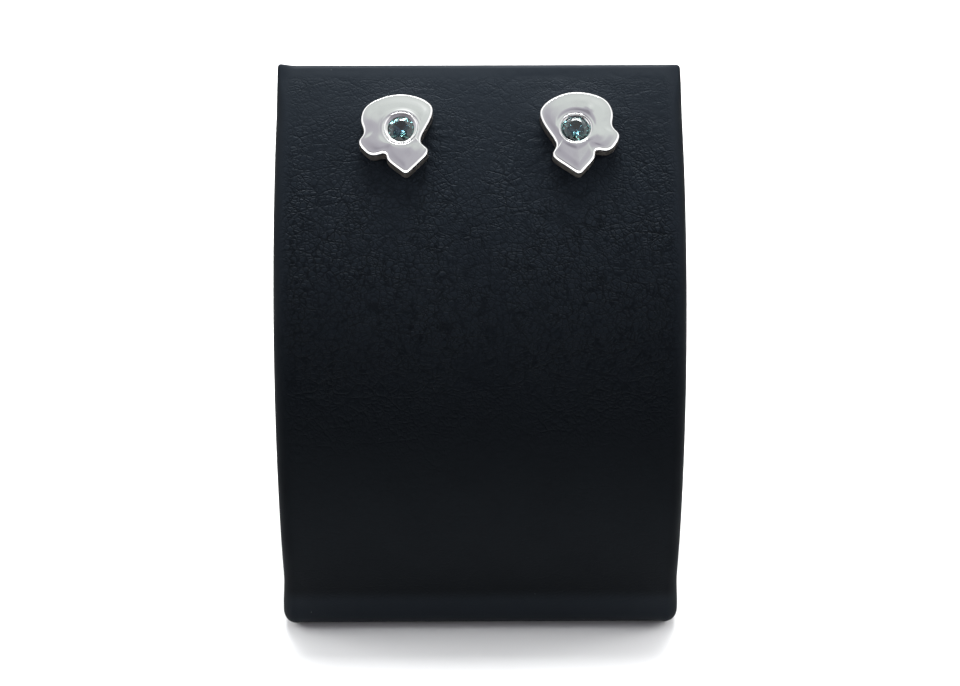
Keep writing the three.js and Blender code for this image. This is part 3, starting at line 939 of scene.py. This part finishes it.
print("setting the stage")
studio = {
    "floorSize": 3.0,
    "floorSides": 96,
    "floorColour": (0.90, 0.90, 0.90, 1.0),
    "mottleColour": (0.80, 0.80, 0.80, 1.0),
    "worldStrength": 1.0,
    # colour of the surroundings by the angle over the front horizon: 90 is overhead, 180 behind
    "surroundings": [
        (0.0, (0.13, 0.12, 0.13)),
        (20.0, (0.18, 0.17, 0.19)),
        (44.0, (0.27, 0.26, 0.30)),
        (60.0, (0.41, 0.40, 0.45)),
        (70.0, (0.46, 0.455, 0.50)),
        (79.0, (0.64, 0.68, 0.67)),
        (91.0, (0.72, 0.76, 0.75)),
        (101.0, (1.10, 1.13, 1.14)),
        (116.0, (1.5, 1.5, 1.5)),
        (180.0, (1.4, 1.4, 1.4)),
    ],
    "sides": (1.2, 1.2, 1.22),
    "skew": 0.13,            # radians by which the bands turn from the middle to either side
    "skewReach": 0.16,
}


def makeFloor(look):
    # A round plain sheet, pale, with the slightest mottling.
    around = look["floorSides"]
    angle = np.linspace(0.0, 2 * math.pi, around, endpoint=False)
    rings = np.array([np.column_stack([r * np.cos(angle), r * np.sin(angle), np.zeros(around)])
                      for r in np.linspace(0.05, look["floorSize"] / 2, 6)])
    index = np.arange(rings.shape[0] * around).reshape(-1, around)
    quads = np.stack([index[:-1], index[1:], np.roll(index[1:], -1, 1), np.roll(index[:-1], -1, 1)], -1)
    faces = quads.reshape(-1, 4).tolist() + [index[0].tolist()]
    mesh = bpy.data.meshes.new("floor")
    mesh.from_pydata(rings.reshape(-1, 3).tolist(), [], faces)
    floor = bpy.data.objects.new("floor", mesh)
    bpy.context.collection.objects.link(floor)
    material, tree = newMaterial("floorPaper")
    place = addNode(tree, "ShaderNodeTexCoord").outputs["Object"]
    mottle = noise(tree, place, 30.0, 4.0)
    shade = mapRange(tree, mottle.outputs["Fac"], 0.3, 0.7, 0.0, 0.03)
    colour = mixColour(tree, shade, look["floorColour"], look["mottleColour"])
    shader = addNode(tree, "ShaderNodeBsdfPrincipled", {"Base Color": colour, "Roughness": 0.85})
    finish(tree, shader)
    floor.data.materials.append(material)


def makeWorld(look):
    # The surroundings as a ring of colours from the front horizon over the top to the back, fading
    # into plain white walls at both sides.
    world = bpy.data.worlds.new("studio")
    world.use_nodes = True
    tree = world.node_tree
    tree.nodes.clear()
    direction = addNode(tree, "ShaderNodeTexCoord").outputs["Generated"]
    parts = addNode(tree, "ShaderNodeSeparateXYZ", {0: direction}).outputs
    angle = mathNode(tree, "ARCTAN2", parts[2], mathNode(tree, "MULTIPLY", parts[1], -1.0))
    skew, reach = look["skew"], look["skewReach"]
    angle = mathNode(tree, "ADD", angle, mapRange(tree, parts[0], -reach, reach, -skew, skew))
    ramp = addNode(tree, "ShaderNodeValToRGB", {0: mathNode(tree, "DIVIDE", angle, math.pi)})
    stops = look["surroundings"]
    ramp.color_ramp.interpolation = "EASE"
    for _ in range(len(stops) - 2):
        ramp.color_ramp.elements.new(0.5)
    for element, (degrees, colour) in zip(ramp.color_ramp.elements, stops):
        element.position = degrees / 180.0
        element.color = (*colour, 1.0)
    sideways = mathNode(tree, "ABSOLUTE", parts[0])
    wall = mapRange(tree, sideways, 0.55, 0.92)
    colour = mixColour(tree, wall, ramp.outputs[0], (*look["sides"], 1.0))
    background = addNode(tree, "ShaderNodeBackground", {"Color": colour,
                         "Strength": look["worldStrength"]})
    output = addNode(tree, "ShaderNodeOutputWorld")
    tree.links.new(background.outputs[0], output.inputs["Surface"])
    bpy.context.scene.world = world


lights = [
    # name, place, aim, size, watts, colour; softboxes light surfaces and show in no gloss
    ("overheadSoftbox", (0.0, 0.21, 0.61), (0.0, 0.0, 0.05), (0.32, 0.22), 4.9, (0.97, 0.99, 1.0)),
    ("leftSoftbox", (-0.50, 0.02, 0.32), (0.0, -0.03, 0.0), (0.30, 0.30), 1.6, (1.0, 1.0, 1.0)),
    ("rightSoftbox", (0.50, 0.02, 0.32), (0.0, -0.03, 0.0), (0.30, 0.30), 1.6, (1.0, 1.0, 1.0)),
    # seen only as gloss
    ("backGloss", (0.0, 0.31, 0.56), (0.0, 0.0, 0.06), (0.46, 0.22), 3.8, (0.97, 0.99, 1.0)),
    # small lamps that only the stones catch
    ("leftLamp", (-0.30, -0.36, 0.42), (0.0, 0.0, 0.06), (0.13, 0.13), 1.2, (0.80, 0.92, 1.0)),
    ("rightLamp", (0.24, -0.30, 0.52), (0.0, 0.0, 0.06), (0.13, 0.11), 1.2, (0.92, 0.97, 1.0)),
    ("highLamp", (-0.06, -0.12, 0.70), (0.0, 0.0, 0.06), (0.14, 0.11), 1.2, (0.85, 0.95, 1.0)),
    ("farLamp", (0.42, -0.08, 0.50), (0.0, 0.0, 0.06), (0.13, 0.13), 1.2, (1.0, 0.98, 0.95)),
]


def makeLights(rows):
    from mathutils import Vector
    for name, place, aim, size, watts, colour in rows:
        data = bpy.data.lights.new(name, "AREA")
        data.shape = "RECTANGLE"
        data.size, data.size_y = size
        data.energy = watts
        data.color = colour
        light = bpy.data.objects.new(name, data)
        bpy.context.collection.objects.link(light)
        light.location = place
        light.rotation_euler = (Vector(aim) - Vector(place)).to_track_quat("-Z", "Y").to_euler()
        light.visible_camera = False
        light.visible_glossy = name.endswith("Gloss")
        light.visible_diffuse = name.endswith("Softbox")


cameraView = {
    "elevation": 30.0,       # of the camera over the nearest point of the front
    "distance": 0.210,       # from that point
    "focalPixels": 1749.0,
    "imageWidth": 960,
    "imageHeight": 686,
    "nearestRow": 307.5,     # picture row of that point
    "centreColumn": 477.6,   # picture column of the stand's middle
    "azimuth": -0.3,         # the stand is turned by this much in the picture
}


def makeCamera(view):
    data = bpy.data.cameras.new("camera")
    data.sensor_width = 36.0
    data.lens = view["focalPixels"] * data.sensor_width / view["imageWidth"]
    data.clip_start = 0.01
    data.clip_end = 20.0
    camera = bpy.data.objects.new("camera", data)
    bpy.context.collection.objects.link(camera)
    elevation = math.radians(view["elevation"])
    reach = standForm["frontRadius"] * mm + view["distance"]
    azimuth = math.radians(view["azimuth"])
    level = reach * math.cos(elevation)
    camera.location = (level * math.sin(azimuth), curveY * mm - level * math.cos(azimuth),
                       curveZ * mm + reach * math.sin(elevation))
    drop = math.atan((view["imageHeight"] / 2 - view["nearestRow"]) / view["focalPixels"])
    swing = math.atan((view["centreColumn"] - view["imageWidth"] / 2) / view["focalPixels"])
    camera.rotation_euler = (math.pi / 2 - elevation - drop, 0.0, azimuth + swing)
    bpy.context.scene.camera = camera


makeFloor(studio)
makeWorld(studio)
makeLights(lights)
makeCamera(cameraView)
bpy.context.scene.view_settings.view_transform = "Standard"

print("done")
